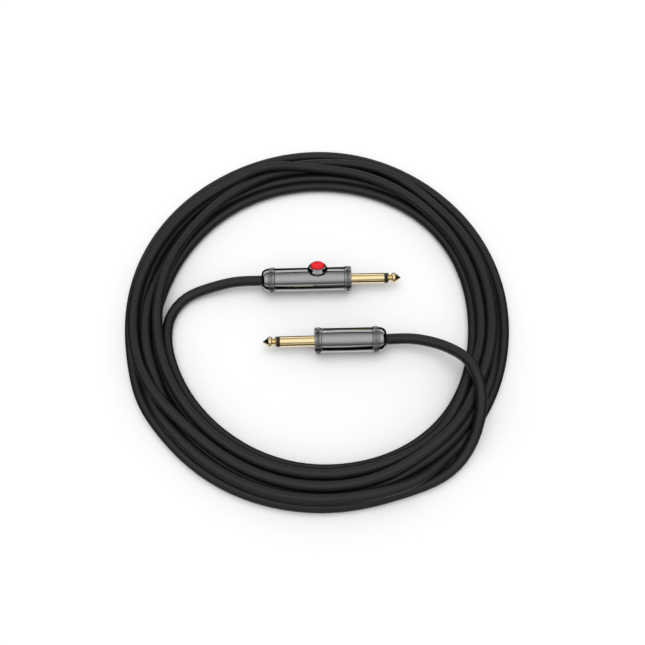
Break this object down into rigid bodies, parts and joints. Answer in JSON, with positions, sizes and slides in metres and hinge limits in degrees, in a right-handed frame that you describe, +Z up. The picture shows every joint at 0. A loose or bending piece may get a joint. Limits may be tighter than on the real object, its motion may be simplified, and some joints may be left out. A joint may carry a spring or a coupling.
{
  "type": "instrument cable",
  "caption": "Coiled black instrument cord with two straight 6.35 mm gold phone plugs in black chrome barrels, one with a red push-to-mute button.",
  "frame": {"origin": "on the floor, at the centre of the box around the two plugs (the cord is left out)", "axes": "+Z up; both plugs lie along X, the mute plug pointing its tip along +X and the plain plug along -X; the mute plug is on the +Y side"},
  "size_m": [0.2336, 0.242, 0.0202],
  "materials": {
    "cord_jacket": "matte black flexible jacket with a soft sheen",
    "polished_gold": "polished gold plate over turned brass",
    "knurled_black_chrome": "black chrome plate, diamond knurled",
    "black_chrome": "polished black chrome plate with fine turning marks",
    "bezel_chrome": "polished dark chrome",
    "red_button": "glossy moulded red",
    "gland_rubber": "matte black rubber",
    "spring_steel": "drawn spring wire",
    "copper_braid": "bright twisted copper strands",
    "wire_insulation": "smooth white insulation",
    "brass_terminal": "stamped brass, lightly brushed",
    "black_plastic": "black moulded insulating plastic"
  },
  "bodies": {
    "cable": {"cord_coil": "cord_jacket", "cord_lead_a": "cord_jacket", "cord_lead_b": "cord_jacket", "mute_plug_barrel": "black_chrome", "mute_plug_bezel": "bezel_chrome", "mute_plug_contact_ground": "brass_terminal", "mute_plug_contact_tip": "brass_terminal", "mute_plug_cord_gland": "gland_rubber", "mute_plug_core_wire": "wire_insulation", "mute_plug_end_cap": "black_chrome", "mute_plug_front_collar": "knurled_black_chrome", "mute_plug_ground_lug": "brass_terminal", "mute_plug_liner": "black_plastic", "mute_plug_lug_washer": "black_plastic", "mute_plug_rear_collar": "knurled_black_chrome", "mute_plug_rod_insulator": "black_plastic", "mute_plug_shield_wire": "copper_braid", "mute_plug_sleeve": "polished_gold", "mute_plug_spring": "spring_steel", "mute_plug_switch_housing": "black_plastic", "mute_plug_switch_lead_ground": "wire_insulation", "mute_plug_switch_lead_tip": "wire_insulation", "mute_plug_tip": "polished_gold", "mute_plug_tip_lug": "brass_terminal", "mute_plug_tip_ring": "black_plastic", "plain_plug_core_wire": "wire_insulation", "plain_plug_front_collar": "knurled_black_chrome", "plain_plug_ground_lug": "brass_terminal", "plain_plug_liner": "black_plastic", "plain_plug_lug_washer": "black_plastic", "plain_plug_rod_insulator": "black_plastic", "plain_plug_shield_wire": "copper_braid", "plain_plug_sleeve": "polished_gold", "plain_plug_tip": "polished_gold", "plain_plug_tip_lug": "brass_terminal", "plain_plug_tip_ring": "black_plastic"},
    "mute_button": {"mute_plug_button": "red_button", "mute_plug_plunger": "black_plastic", "mute_plug_moving_contact": "brass_terminal"},
    "plain_plug_shell": {"plain_plug_barrel": "black_chrome", "plain_plug_rear_collar": "knurled_black_chrome", "plain_plug_end_cap": "black_chrome", "plain_plug_cord_gland": "gland_rubber"}
  },
  "joints": [
    {"name": "mute_button_press", "type": "slide", "parent": "cable", "child": "mute_button", "axis": [0, -0.4695, -0.8829], "range_m": [0, 0.0012], "stiffness_N_per_m": 1000, "springref_m": -0.001, "deforming": ["mute_plug_spring"]},
    {"name": "plain_plug_shell_slide", "type": "slide", "parent": "cable", "child": "plain_plug_shell", "axis": [1, 0, 0], "range_m": [0, 0.012]}
  ]
}
